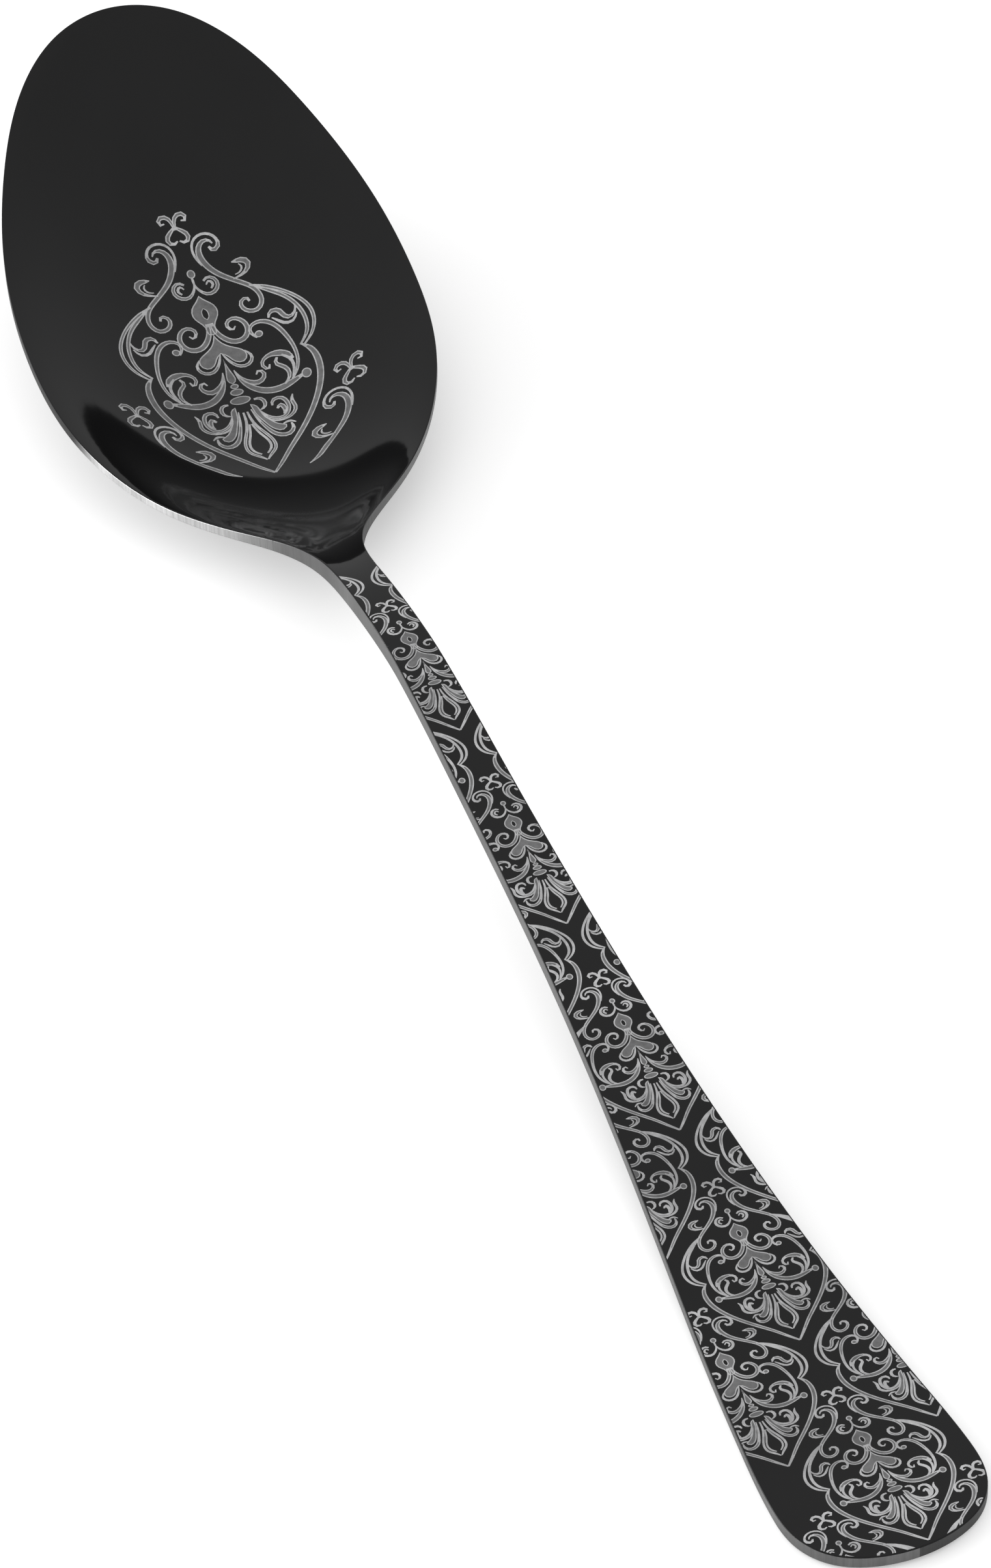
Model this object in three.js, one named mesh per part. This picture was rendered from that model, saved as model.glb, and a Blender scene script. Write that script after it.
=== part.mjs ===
// A stamped metal table spoon: an egg-shaped bowl, an arched neck and a flat handle that widens to
// a broad rounded end. Millimetres, +Z up, +X from the bowl's tip to the handle's end. The origin
// is under the middle of the spoon's box, on the surface that it lies on.
//
// One sheet of metal makes the whole spoon. Its regions bowl, neck, handle and handle_end meet face
// to face on flat sections. All are lofted from one outline, side profile, hollow and thickness,
// each a smooth curve over the station: the distance from the tip along the spoon's middle line.

import * as THREE from 'three';
import { mergeVertices } from 'three/addons/utils/BufferGeometryUtils.js';

// ---- driving dimensions, mm and degrees ----
const OVERALL_LENGTH = 200;
const BOWL_LENGTH = 66;           // tip to the middle of the shoulder's sweep
const BOWL_WIDTH = 39.2;
const BOWL_DEPTH = 7.2;           // rim to the inside of the floor, at mid bowl
const BOWL_YAW = 3.8;             // the bowl is turned this far round from the handle's line
const NECK_WIDTH = 4.2;
const NECK_LENGTH = 26;           // shoulder's sweep to the end of the arch
const NECK_ARCH = 11.8;           // top of the arch above the table
const TIP_HEIGHT = 21.2;          // top of the tip above the table
const HANDLE_END_WIDTH = 17.4;
const END_LENGTH = 16;            // from the handle's widest stretch to its end
const END_RISE = 0.6;             // how far the end turns up from the table
const BOWL_THICKNESS = 1.05;
const NECK_THICKNESS = 2.1;
const HANDLE_THICKNESS = 1.25;
const NECK_SET = -0.3;            // how far the struck blank strays sideways at the neck
const END_SET = 0.4;              // and at the handle's end
const REST_DEPTH = 0.2;           // how deep the two flats that the spoon lies on are worn

// ---- mesh fineness ----
const CELLS_ACROSS = 16;
const STATIONS = { bowl: 40, neck: 14, handle: 24, handle_end: 16 };

const NECK_START = BOWL_LENGTH + 4;
const NECK_END = BOWL_LENGTH + NECK_LENGTH;
const END_START = OVERALL_LENGTH - END_LENGTH;
const STEM_LENGTH = END_START - NECK_END;

// A natural cubic spline through [position, value] knots. A flat end leaves with no slope.
function smoothCurve(knots, flatStart = false, flatEnd = false) {
  const n = knots.length;
  const step = knots.slice(1).map((knot, i) => knot[0] - knots[i][0]);
  const slope = knots.slice(1).map((knot, i) => (knot[1] - knots[i][1]) / step[i]);
  const below = new Array(n).fill(0);
  const diagonal = new Array(n).fill(1);
  const above = new Array(n).fill(0);
  const right = new Array(n).fill(0);
  for (let i = 1; i < n - 1; i++) {
    below[i] = step[i - 1];
    diagonal[i] = 2 * (step[i - 1] + step[i]);
    above[i] = step[i];
    right[i] = 6 * (slope[i] - slope[i - 1]);
  }
  if (flatStart) {
    diagonal[0] = 2 * step[0];
    above[0] = step[0];
    right[0] = 6 * slope[0];
  }
  if (flatEnd) {
    diagonal[n - 1] = 2 * step[n - 2];
    below[n - 1] = step[n - 2];
    right[n - 1] = -6 * slope[n - 2];
  }
  for (let i = 1; i < n; i++) {
    const share = below[i] / diagonal[i - 1];
    diagonal[i] -= share * above[i - 1];
    right[i] -= share * right[i - 1];
  }
  const bend = new Array(n).fill(0);
  for (let i = n - 1; i >= 0; i--) {
    const carried = i < n - 1 ? above[i] * bend[i + 1] : 0;
    bend[i] = (right[i] - carried) / diagonal[i];
  }
  return (position) => {
    const x = Math.min(Math.max(position, knots[0][0]), knots[n - 1][0]);
    let i = 0;
    while (i < n - 2 && x > knots[i + 1][0]) i++;
    const a = (knots[i + 1][0] - x) / step[i];
    const b = 1 - a;
    const curve = ((a ** 3 - a) * bend[i] + (b ** 3 - b) * bend[i + 1]) * step[i] ** 2 / 6;
    return a * knots[i][1] + b * knots[i + 1][1] + curve;
  };
}

// ---- the outline: [station, half-width] from the tip round one side to the end ----
const bowlAt = (share, widthShare) => [share * BOWL_LENGTH, widthShare * BOWL_WIDTH / 2];
const stemAt = (share, growth) => [
  NECK_END + share * STEM_LENGTH,
  NECK_WIDTH / 2 + growth * (HANDLE_END_WIDTH - NECK_WIDTH) / 2,
];
const endAt = (back, widthShare) => [OVERALL_LENGTH - back, widthShare * HANDLE_END_WIDTH / 2];
const OUTLINE = [
  [0, 0], bowlAt(0.023, 0.29), bowlAt(0.083, 0.525), bowlAt(0.22, 0.785), bowlAt(0.40, 0.96),
  bowlAt(0.57, 1), bowlAt(0.72, 0.944), bowlAt(0.84, 0.79), bowlAt(0.925, 0.607),
  [BOWL_LENGTH, 0.2 * BOWL_WIDTH], [BOWL_LENGTH + 4.4, NECK_WIDTH / 2 + 2.5],
  [BOWL_LENGTH + 9.4, NECK_WIDTH / 2 + 0.5], [BOWL_LENGTH + 17.4, NECK_WIDTH / 2 - 0.1],
  stemAt(0.09, 0.023), stemAt(0.41, 0.136), stemAt(0.65, 0.364), stemAt(0.84, 0.644),
  endAt(16, 0.931), endAt(9, 1), endAt(4.8, 0.95), endAt(2, 0.73), endAt(0.6, 0.43),
  [OVERALL_LENGTH, 0],
];
const walked = [0];
for (let i = 1; i < OUTLINE.length; i++) {
  const [dx, dw] = [OUTLINE[i][0] - OUTLINE[i - 1][0], OUTLINE[i][1] - OUTLINE[i - 1][1]];
  walked.push(walked[i - 1] + Math.hypot(dx, dw));
}
const OUTLINE_LENGTH = walked[walked.length - 1];
const stationAlong = smoothCurve(OUTLINE.map((p, i) => [walked[i], p[0]]), true, true);
const widthAlong = smoothCurve(OUTLINE.map((p, i) => [walked[i], p[1]]));

// ---- the side profile: height of the top surface on the middle line ----
const FLOOR_HEIGHT = BOWL_THICKNESS - REST_DEPTH;
const HANDLE_HEIGHT = HANDLE_THICKNESS - REST_DEPTH;
const tipRise = TIP_HEIGHT - FLOOR_HEIGHT;
const archRise = NECK_ARCH - HANDLE_HEIGHT;
const topHeight = smoothCurve([
  [0, TIP_HEIGHT], [0.136 * BOWL_LENGTH, FLOOR_HEIGHT + 0.60 * tipRise],
  [0.273 * BOWL_LENGTH, FLOOR_HEIGHT + 0.335 * tipRise],
  [0.41 * BOWL_LENGTH, FLOOR_HEIGHT + 0.166 * tipRise],
  [0.553 * BOWL_LENGTH, FLOOR_HEIGHT + 0.059 * tipRise], [0.70 * BOWL_LENGTH, FLOOR_HEIGHT],
  [0.83 * BOWL_LENGTH, FLOOR_HEIGHT + 0.07 * archRise], [BOWL_LENGTH, 0.42 * NECK_ARCH],
  [BOWL_LENGTH + 14, 0.9 * NECK_ARCH], [BOWL_LENGTH + 28, NECK_ARCH],
  [NECK_END + 0.22 * STEM_LENGTH, HANDLE_HEIGHT + 0.79 * archRise],
  [NECK_END + 0.43 * STEM_LENGTH, HANDLE_HEIGHT + 0.54 * archRise],
  [NECK_END + 0.63 * STEM_LENGTH, HANDLE_HEIGHT + 0.28 * archRise],
  [NECK_END + 0.84 * STEM_LENGTH, HANDLE_HEIGHT + 0.06 * archRise],
  [OVERALL_LENGTH - 13, HANDLE_HEIGHT], [OVERALL_LENGTH, HANDLE_HEIGHT + END_RISE],
]);

// ---- the hollow: how far the rim stands above the floor beside it ----
const HOLLOW_END = BOWL_LENGTH + 20;
const hollowDepth = smoothCurve([
  [0, 0], [0.136 * BOWL_LENGTH, 0.64 * BOWL_DEPTH], [0.273 * BOWL_LENGTH, 0.90 * BOWL_DEPTH],
  [0.41 * BOWL_LENGTH, 0.985 * BOWL_DEPTH], [0.553 * BOWL_LENGTH, BOWL_DEPTH],
  [0.70 * BOWL_LENGTH, 0.96 * BOWL_DEPTH], [0.80 * BOWL_LENGTH, 0.75 * BOWL_DEPTH],
  [0.91 * BOWL_LENGTH, 0.42 * BOWL_DEPTH], [BOWL_LENGTH + 1, 0.17 * BOWL_DEPTH],
  [BOWL_LENGTH + 10, 0.03 * BOWL_DEPTH], [HOLLOW_END, 0],
], false, true);

const thickness = smoothCurve([
  [0, BOWL_THICKNESS], [0.7 * BOWL_LENGTH, BOWL_THICKNESS],
  [BOWL_LENGTH + 2, 0.8 * BOWL_THICKNESS + 0.2 * NECK_THICKNESS],
  [BOWL_LENGTH + 14, NECK_THICKNESS],
  [NECK_END + 4, 0.6 * NECK_THICKNESS + 0.4 * HANDLE_THICKNESS],
  [NECK_END + 0.25 * STEM_LENGTH, 0.4 * NECK_THICKNESS + 0.6 * HANDLE_THICKNESS],
  [END_START - 0.2 * STEM_LENGTH, HANDLE_THICKNESS], [OVERALL_LENGTH, HANDLE_THICKNESS],
]);

// The middle line's way off the handle's line, sideways: a bump at the neck, a drift at the end.
function straying(station) {
  const fromNeck = Math.min(Math.abs(station - BOWL_LENGTH - 16) / 14, 1);
  const drift = THREE.MathUtils.smoothstep(station, END_START - 16, OVERALL_LENGTH + 4);
  return NECK_SET * (1 - fromNeck ** 2) ** 2 + END_SET * drift;
}

// The bowl's turn fades in through the neck. Each section stays flat, because all of it turns alike.
const TURN_PIVOT = BOWL_LENGTH + 8.5;
const TURN_FADE = [TURN_PIVOT + 11.5, TURN_PIVOT - 12.5];
function turned(station, y) {
  const share = THREE.MathUtils.smoothstep(TURN_FADE[0] - station, 0, TURN_FADE[0] - TURN_FADE[1]);
  const angle = THREE.MathUtils.degToRad(BOWL_YAW) * share;
  const back = station - TURN_PIVOT;
  const aside = y + straying(station);
  return [
    TURN_PIVOT + back * Math.cos(angle) + aside * Math.sin(angle),
    -back * Math.sin(angle) + aside * Math.cos(angle),
  ];
}

// One closed ring round the spoon at a place on the outline: the top from one side to the other,
// then the underside back. Where the underside would pass below the table it is worn flat.
function ring(along) {
  const station = Math.min(Math.max(stationAlong(along), 0), OVERALL_LENGTH);
  const halfWidth = Math.max(widthAlong(along), 0);
  const hollow = station < HOLLOW_END ? hollowDepth(station) : 0;
  const top = [];
  const under = [];
  for (let i = 0; i <= CELLS_ACROSS; i++) {
    const across = 2 * i / CELLS_ACROSS - 1;
    const [x, y] = turned(station, across * halfWidth);
    const z = topHeight(station) + hollow * across ** 2;
    top.push(new THREE.Vector3(x, y, z));
    under.unshift(new THREE.Vector3(x, y, Math.max(z - thickness(station), 0)));
  }
  return [...top, ...under];
}

// Where along the outline a station lies, found by halving.
function outlinePlace(station) {
  let [low, high] = [0, OUTLINE_LENGTH];
  for (let i = 0; i < 50; i++) {
    const middle = (low + high) / 2;
    if (stationAlong(middle) < station) low = middle;
    else high = middle;
  }
  return (low + high) / 2;
}

// A closed body between two stations: its rings joined by quads, and both ends closed flat.
function region(firstStation, lastStation, count) {
  const [from, to] = [outlinePlace(firstStation), outlinePlace(lastStation)];
  const rings = [];
  for (let i = 0; i <= count; i++) rings.push(ring(from + (to - from) * i / count));
  const size = rings[0].length;
  const positions = rings.flat().flatMap((point) => point.toArray());
  const faces = [];
  for (let i = 0; i < count; i++) {
    for (let j = 0; j < size; j++) {
      const [a, b] = [i * size + j, i * size + (j + 1) % size];
      faces.push([a, a + size, b], [b, a + size, b + size]);
    }
  }
  for (let j = 0; j < CELLS_ACROSS; j++) {
    const [top, under] = [j, size - 1 - j];
    faces.push([top, top + 1, under], [under, top + 1, under - 1]);
    const last = count * size;
    faces.push([last + top, last + under, last + top + 1]);
    faces.push([last + under, last + under - 1, last + top + 1]);
  }
  let geometry = new THREE.BufferGeometry();
  geometry.setAttribute('position', new THREE.Float32BufferAttribute(positions, 3));
  geometry.setIndex(faces.flat());
  geometry = mergeVertices(geometry, 1e-4);
  const merged = Array.from(geometry.getIndex().array);
  const kept = [];
  for (let i = 0; i < merged.length; i += 3) {
    const [a, b, c] = merged.slice(i, i + 3);
    if (a !== b && b !== c && c !== a) kept.push(a, b, c);
  }
  geometry.setIndex(kept);
  geometry.computeVertexNormals();
  return geometry;
}

const blackCoating = new THREE.MeshStandardMaterial({
  color: 0x1c1c1e, roughness: 0.18, metalness: 0.6,
});

const spans = {
  bowl: [0, NECK_START],
  neck: [NECK_START, NECK_END],
  handle: [NECK_END, END_START],
  handle_end: [END_START, OVERALL_LENGTH],
};
const spoon = new THREE.Group();
for (const [name, [first, last]] of Object.entries(spans)) {
  const mesh = new THREE.Mesh(region(first, last, STATIONS[name]), blackCoating);
  mesh.name = name;
  spoon.add(mesh);
}
const box = new THREE.Box3().setFromObject(spoon);
const middle = box.getCenter(new THREE.Vector3());
spoon.position.set(-middle.x, -middle.y, -box.min.z);

export default spoon;
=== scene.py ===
"""A black table spoon with a pale etched damask, dressed for rendering.

The solid spoon comes from model.glb. This script lays finished skins over its four regions: each
skin is worked out from the spoon's form (outline, side profile, hollow and thickness), and the
damask is cut into it as real outlines, so that every etched line and field is a face of its own.
Lengths in the form and in the ornament are millimetres; meshes are made in metres.
"""

import logging
from dataclasses import dataclass, field
from enum import Enum

import bpy
import numpy as np
from mathutils import Matrix, Vector
from mathutils.geometry import delaunay_2d_cdt


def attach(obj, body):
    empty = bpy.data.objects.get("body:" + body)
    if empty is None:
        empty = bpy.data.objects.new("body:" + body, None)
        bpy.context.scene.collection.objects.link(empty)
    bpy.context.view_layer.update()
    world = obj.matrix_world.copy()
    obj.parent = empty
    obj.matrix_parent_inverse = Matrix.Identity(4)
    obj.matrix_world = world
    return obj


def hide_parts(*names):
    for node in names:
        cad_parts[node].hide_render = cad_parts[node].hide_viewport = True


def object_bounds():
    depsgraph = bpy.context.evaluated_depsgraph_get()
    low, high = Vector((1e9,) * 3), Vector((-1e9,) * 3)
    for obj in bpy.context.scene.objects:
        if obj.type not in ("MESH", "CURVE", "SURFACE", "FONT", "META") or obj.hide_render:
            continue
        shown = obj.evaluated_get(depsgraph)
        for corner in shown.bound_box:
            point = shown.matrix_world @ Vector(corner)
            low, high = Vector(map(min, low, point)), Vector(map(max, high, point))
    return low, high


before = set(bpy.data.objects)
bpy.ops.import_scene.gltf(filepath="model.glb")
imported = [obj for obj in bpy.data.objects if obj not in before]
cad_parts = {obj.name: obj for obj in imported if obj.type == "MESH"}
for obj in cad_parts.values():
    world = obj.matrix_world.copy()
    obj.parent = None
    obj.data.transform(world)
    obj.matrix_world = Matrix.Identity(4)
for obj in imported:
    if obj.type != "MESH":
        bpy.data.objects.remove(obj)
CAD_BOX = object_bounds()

log = logging.getLogger("spoon")
MM = 0.001
Array = np.ndarray


class Curve:
    """A natural cubic spline through knots, each piece a cubic in the distance from its knots."""

    def __init__(self, at: Array, values: Array, flat: tuple[bool, bool] = (False, False)) -> None:
        """Solves for the bend at each knot.

        Args:
            at: Positions of the knots, rising.
            values: One value or one row of values per knot.
            flat: Whether the curve leaves its first and reaches its last knot with no slope.
        """
        self.at = np.asarray(at, float)
        self.values = np.asarray(values, float).reshape(len(self.at), -1)
        step = np.diff(self.at)
        slope = np.diff(self.values, axis=0) / step[:, None]
        n = len(self.at)
        matrix, right = np.eye(n), np.zeros_like(self.values)
        inner = np.arange(1, n - 1)
        matrix[inner, inner - 1], matrix[inner, inner + 1] = step[:-1], step[1:]
        matrix[inner, inner] = 2 * (step[:-1] + step[1:])
        right[1:-1] = 6 * np.diff(slope, axis=0)
        if flat[0]:
            matrix[0, :2], right[0] = (2 * step[0], step[0]), 6 * slope[0]
        if flat[1]:
            matrix[-1, -2:], right[-1] = (step[-1], 2 * step[-1]), -6 * slope[-1]
        self.bend = np.linalg.solve(matrix, right)

    def __call__(self, position: Array) -> Array:
        """Returns the values at each position, one column per value."""
        x = np.clip(np.asarray(position, float), self.at[0], self.at[-1])
        i = np.clip(np.searchsorted(self.at, x) - 1, 0, len(self.at) - 2)
        step = self.at[i + 1] - self.at[i]
        a, b = ((self.at[i + 1] - x) / step)[..., None], ((x - self.at[i]) / step)[..., None]
        cubic = (a**3 - a) * self.bend[i] + (b**3 - b) * self.bend[i + 1]
        return a * self.values[i] + b * self.values[i + 1] + cubic * step[..., None] ** 2 / 6

    @classmethod
    def through(cls, knots: list[tuple[float, float]], **ends: tuple[bool, bool]) -> "Curve":
        """Returns the spline through (position, value) knots."""
        table = np.array(knots, float)
        return cls(table[:, 0], table[:, 1], **ends)


def ease(value: Array, start: float, stop: float) -> Array:
    """Returns 3t^2 - 2t^3, where t runs from 0 at start to 1 at stop."""
    t = np.clip((np.asarray(value, float) - start) / (stop - start), 0, 1)
    return t * t * (3 - 2 * t)


@dataclass
class SpoonForm:
    """The spoon's shape over stations: distances from the tip along its middle line, in mm."""

    length: float = 200.0
    bowl_length: float = 66.0
    bowl_width: float = 39.2
    bowl_depth: float = 7.2
    bowl_yaw: float = 3.8
    neck_width: float = 4.2
    neck_length: float = 26.0
    neck_arch: float = 11.8
    tip_height: float = 21.2
    end_width: float = 17.4
    end_length: float = 16.0
    end_rise: float = 0.6
    bowl_gauge: float = 1.05
    neck_gauge: float = 2.1
    handle_gauge: float = 1.25
    neck_set: float = -0.3
    end_set: float = 0.4
    rest_depth: float = 0.2
    edge_round: float = 0.16
    lip: float = 0.42  # flattens the hollow's wall towards the rim, more than the solid's
    shift: Array = field(default_factory=lambda: np.zeros(2))

    def __post_init__(self) -> None:
        """Works out the splines, then shifts the form so that it fills the CAD box."""
        bowl, end = self.bowl_length, self.length
        neck_end = bowl + self.neck_length
        stem = end - self.end_length - neck_end
        self.cuts = {
            "bowl": (0.0, bowl + 4), "neck": (bowl + 4, neck_end),
            "handle": (neck_end, neck_end + stem), "handle_end": (neck_end + stem, end),
        }
        neck, growth = self.neck_width / 2, (self.end_width - self.neck_width) / 2
        half_bowl, half_end = self.bowl_width / 2, self.end_width / 2
        outline = [
            *((a * bowl, w * half_bowl) for a, w in (
                (0, 0), (0.023, 0.29), (0.083, 0.525), (0.22, 0.785), (0.40, 0.96), (0.57, 1),
                (0.72, 0.944), (0.84, 0.79), (0.925, 0.607), (1, 0.4))),
            (bowl + 4.4, neck + 2.5), (bowl + 9.4, neck + 0.5), (bowl + 17.4, neck - 0.1),
            *((neck_end + a * stem, neck + g * growth) for a, g in (
                (0.09, 0.023), (0.41, 0.136), (0.65, 0.364), (0.84, 0.644))),
            *((end - b, w * half_end) for b, w in (
                (16, 0.931), (9, 1), (4.8, 0.95), (2, 0.73), (0.6, 0.43), (0, 0))),
        ]
        points = np.array(outline)
        walked = np.r_[0, np.cumsum(np.hypot(*np.diff(points, axis=0).T))]
        self.outline_length = walked[-1]
        self.station_along = Curve(walked, points[:, 0], flat=(True, True))
        self.width_along = Curve(walked, points[:, 1])

        floor = self.bowl_gauge - self.rest_depth
        low = self.handle_gauge - self.rest_depth
        tip, arch = self.tip_height - floor, self.neck_arch - low
        self.top_height = Curve.through([
            *((a * bowl, floor + r * tip) for a, r in (
                (0, 1), (0.136, 0.60), (0.273, 0.335), (0.41, 0.166), (0.553, 0.059), (0.70, 0))),
            (0.83 * bowl, floor + 0.07 * arch), (bowl, 0.42 * self.neck_arch),
            (bowl + 14, 0.9 * self.neck_arch), (bowl + 28, self.neck_arch),
            *((neck_end + a * stem, low + r * arch) for a, r in (
                (0.22, 0.79), (0.43, 0.54), (0.63, 0.28), (0.84, 0.06))),
            (end - 13, low), (end, low + self.end_rise),
        ])
        self.hollow_end = bowl + 20
        self.hollow = Curve.through([
            *((a * bowl, d * self.bowl_depth) for a, d in (
                (0, 0), (0.136, 0.64), (0.273, 0.90), (0.41, 0.985), (0.553, 1), (0.70, 0.96),
                (0.80, 0.75), (0.91, 0.42))),
            (bowl + 1, 0.17 * self.bowl_depth), (bowl + 10, 0.03 * self.bowl_depth),
            (self.hollow_end, 0),
        ], flat=(False, True))
        bowl_t, neck_t, stem_t = self.bowl_gauge, self.neck_gauge, self.handle_gauge
        self.gauge = Curve.through([
            (0, bowl_t), (0.7 * bowl, bowl_t), (bowl + 2, 0.8 * bowl_t + 0.2 * neck_t),
            (bowl + 14, neck_t), (neck_end + 4, 0.6 * neck_t + 0.4 * stem_t),
            (neck_end + 0.25 * stem, 0.4 * neck_t + 0.6 * stem_t),
            (end - self.end_length - 0.2 * stem, stem_t), (end, stem_t),
        ])
        low_corner, high_corner = np.array(CAD_BOX) / MM
        rim = self.rim(4000)
        sides = np.concatenate([self.lay(rim[:, 0], side * rim[:, 1]) for side in (-1, 1)])
        middle = (low_corner + high_corner) / 2 - (sides.min(0) + sides.max(0)) / 2
        self.shift = middle[:2]

    def rim(self, count: int) -> Array:
        """Returns (station, half-width) rows evenly spaced along the outline, tip to end."""
        along = np.linspace(0, self.outline_length, count)
        stations = np.clip(self.station_along(along)[:, 0], 0, self.length)
        return np.stack([stations, np.maximum(self.width_along(along)[:, 0], 0)], 1)

    def half_width(self, station: Array) -> Array:
        """Returns the outline's half-width at each station."""
        rim = self.rim(8000)
        return np.interp(station, rim[:, 0], rim[:, 1])

    def lay(self, station: Array, y: Array, depth: Array | float = 0.0) -> Array:
        """Lays flat points on the form.

        The height is the profile plus the hollow times the square of the share of the half-width,
        which the lip makes flatter towards the rim, less the depth and never under the table. The
        bowl's stations turn about a point in the neck, by an angle that eases in.

        Args:
            station: Stations, mm.
            y: Places across, mm.
            depth: How far below the top surface, mm.

        Returns:
            Rows of x, y, z in mm, in the frame of the CAD.
        """
        station, y = np.broadcast_arrays(np.asarray(station, float), np.asarray(y, float))
        share = y / np.maximum(self.half_width(station), 0.5)
        hollow = np.where(station < self.hollow_end, self.hollow(station)[..., 0], 0)
        bend = share**2 * (1 + self.lip * share**2 * (1 - share**2))
        z = np.maximum(self.top_height(station)[..., 0] + hollow * bend - depth, 0)
        pivot = self.bowl_length + 8.5
        angle = np.radians(self.bowl_yaw) * ease(pivot + 11.5 - station, 0, 24)
        from_neck = np.minimum(np.abs(station - self.bowl_length - 16) / 14, 1)
        drift = ease(station, self.length - self.end_length - 16, self.length + 4)
        back = station - pivot
        aside = y + self.neck_set * (1 - from_neck**2) ** 2 + self.end_set * drift
        x = pivot + back * np.cos(angle) + aside * np.sin(angle) + self.shift[0]
        across = -back * np.sin(angle) + aside * np.cos(angle) + self.shift[1]
        return np.stack([x, across, z], -1)

    def facing(self, station: Array, y: Array) -> Array:
        """Returns the top surface's upward unit normals: the cross product of its two slopes."""
        near = 0.02
        along = self.lay(station + near, y) - self.lay(station - near, y)
        across = self.lay(station, y + near) - self.lay(station, y - near)
        normal = np.cross(along, across)
        return normal / np.linalg.norm(normal, axis=-1, keepdims=True)


# ---- the ornament ----


class Etching(Enum):
    """What a patch of the top surface is."""

    COATING = 0
    FIELD = 1
    LINE = 2


def inside(points: Array, loop: Array) -> Array:
    """Returns whether each point's winding number about a closed loop isn't zero."""
    result = np.zeros(len(points), bool)
    near = np.where(((points >= loop.min(0)) & (points <= loop.max(0))).all(1))[0]
    if not len(near):
        return result
    x, y = points[near, 0][:, None], points[near, 1][:, None]
    a, b = loop, np.roll(loop, -1, axis=0)
    side = (b[:, 0] - a[:, 0]) * (y - a[:, 1]) - (x - a[:, 0]) * (b[:, 1] - a[:, 1])
    up = (a[:, 1] <= y) & (b[:, 1] > y) & (side > 0)
    down = (a[:, 1] > y) & (b[:, 1] <= y) & (side < 0)
    result[near] = (up.sum(1) - down.sum(1)) != 0
    return result


@dataclass(frozen=True)
class Figure:
    """One closed figure of the ornament: its outer edge, and the field inside its drawn line."""

    outer: Array
    inner: Array | None
    is_hole: bool = False

    def moved(self, stretch: Array, by: Array) -> "Figure":
        """Returns the figure scaled by a factor each way and then shifted."""
        inner = None if self.inner is None else self.inner * stretch + by
        return Figure(self.outer * stretch + by, inner, self.is_hole)

    def mirrored(self) -> "Figure":
        """Returns the figure with left and right exchanged."""
        flip = np.array([1.0, -1.0])
        inner = None if self.inner is None else (self.inner * flip)[::-1]
        return Figure((self.outer * flip)[::-1], inner, self.is_hole)


def stroke(points: list[tuple[float, float, float]], line: float) -> Figure:
    """A brush stroke: a smooth path with a swelling width.

    Args:
        points: Rows of (across, along, half-width) that the path passes through.
        line: Width of the drawn line along both sides of the stroke.

    Returns:
        The stroke, whose sides lie the half-width to either side of the path.
    """
    rows = np.array(points, float)
    walked = np.r_[0, np.cumsum(np.hypot(*np.diff(rows[:, :2], axis=0).T))]
    place = np.linspace(0, walked[-1], max(8, int(walked[-1] / 0.38)))
    path = Curve(walked, rows[:, 1::-1])(place)
    width = np.interp(place, walked, rows[:, 2])
    heading = np.gradient(path, axis=0)
    heading /= np.linalg.norm(heading, axis=1, keepdims=True)
    side = np.stack([-heading[:, 1], heading[:, 0]], 1)

    def band(half: Array, keep: Array) -> Array:
        """Returns the closed loop at a half-width to either side of the kept path."""
        reach = side[keep] * half[keep, None]
        return np.concatenate([path[keep] + reach, (path[keep] - reach)[::-1]])

    wide = np.where(width > line * 1.3)[0]
    inner = None
    if len(wide) > 3:
        keep = np.arange(max(wide[0], 1), min(wide[-1] + 1, len(width) - 1))
        inner = band(np.maximum(width - line, 0.02), keep)
    return Figure(band(np.maximum(width, 0.03), np.arange(len(width))), inner)


def closed(points: list[tuple[float, float]], line: float, mirror: bool, hole: bool = False) -> Figure:
    """A closed leaf, heart or drop.

    Args:
        points: Rows of (across, along). With mirror they are the right half, from top to bottom.
        line: Width of the drawn line inside the edge.
        mirror: Whether the left half is the right half mirrored.
        hole: Whether the figure is bare coating inside, as an eye is.

    Returns:
        The figure, whose field is its edge moved inwards by the line.
    """
    rows = np.array(points, float)[:, ::-1]
    if not mirror:
        rows = np.concatenate([rows, rows[:1]])
    walked = np.r_[0, np.cumsum(np.hypot(*np.diff(rows, axis=0).T))]
    loop = Curve(walked, rows)(np.linspace(0, walked[-1], max(10, int(walked[-1] / 0.4))))
    if mirror:
        loop = np.concatenate([loop, (loop * [1, -1])[-2:0:-1]])
    else:
        loop = loop[:-1]
    ahead = np.roll(loop, -1, 0) - np.roll(loop, 1, 0)
    ahead /= np.linalg.norm(ahead, axis=1, keepdims=True)
    turn = np.sign(np.sum(loop[:, 0] * np.roll(loop[:, 1], -1) - np.roll(loop[:, 0], -1) * loop[:, 1]))
    inward = turn * np.stack([-ahead[:, 1], ahead[:, 0]], 1)
    return Figure(loop, loop + inward * line, hole)


def disc(x: float, along: float, across: float, length: float, line: float) -> Figure:
    """An ellipse about (x, along) with the given half-axes: a sine and a cosine of one angle."""
    angle = np.linspace(0, 2 * np.pi, 22, endpoint=False)
    ring = np.stack([np.sin(angle), np.cos(angle)], 1)
    centre = np.array([along, x])
    return Figure(centre + ring * [length, across],
                  centre + ring * [max(length - line, 0.05), max(across - line, 0.05)])


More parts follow.
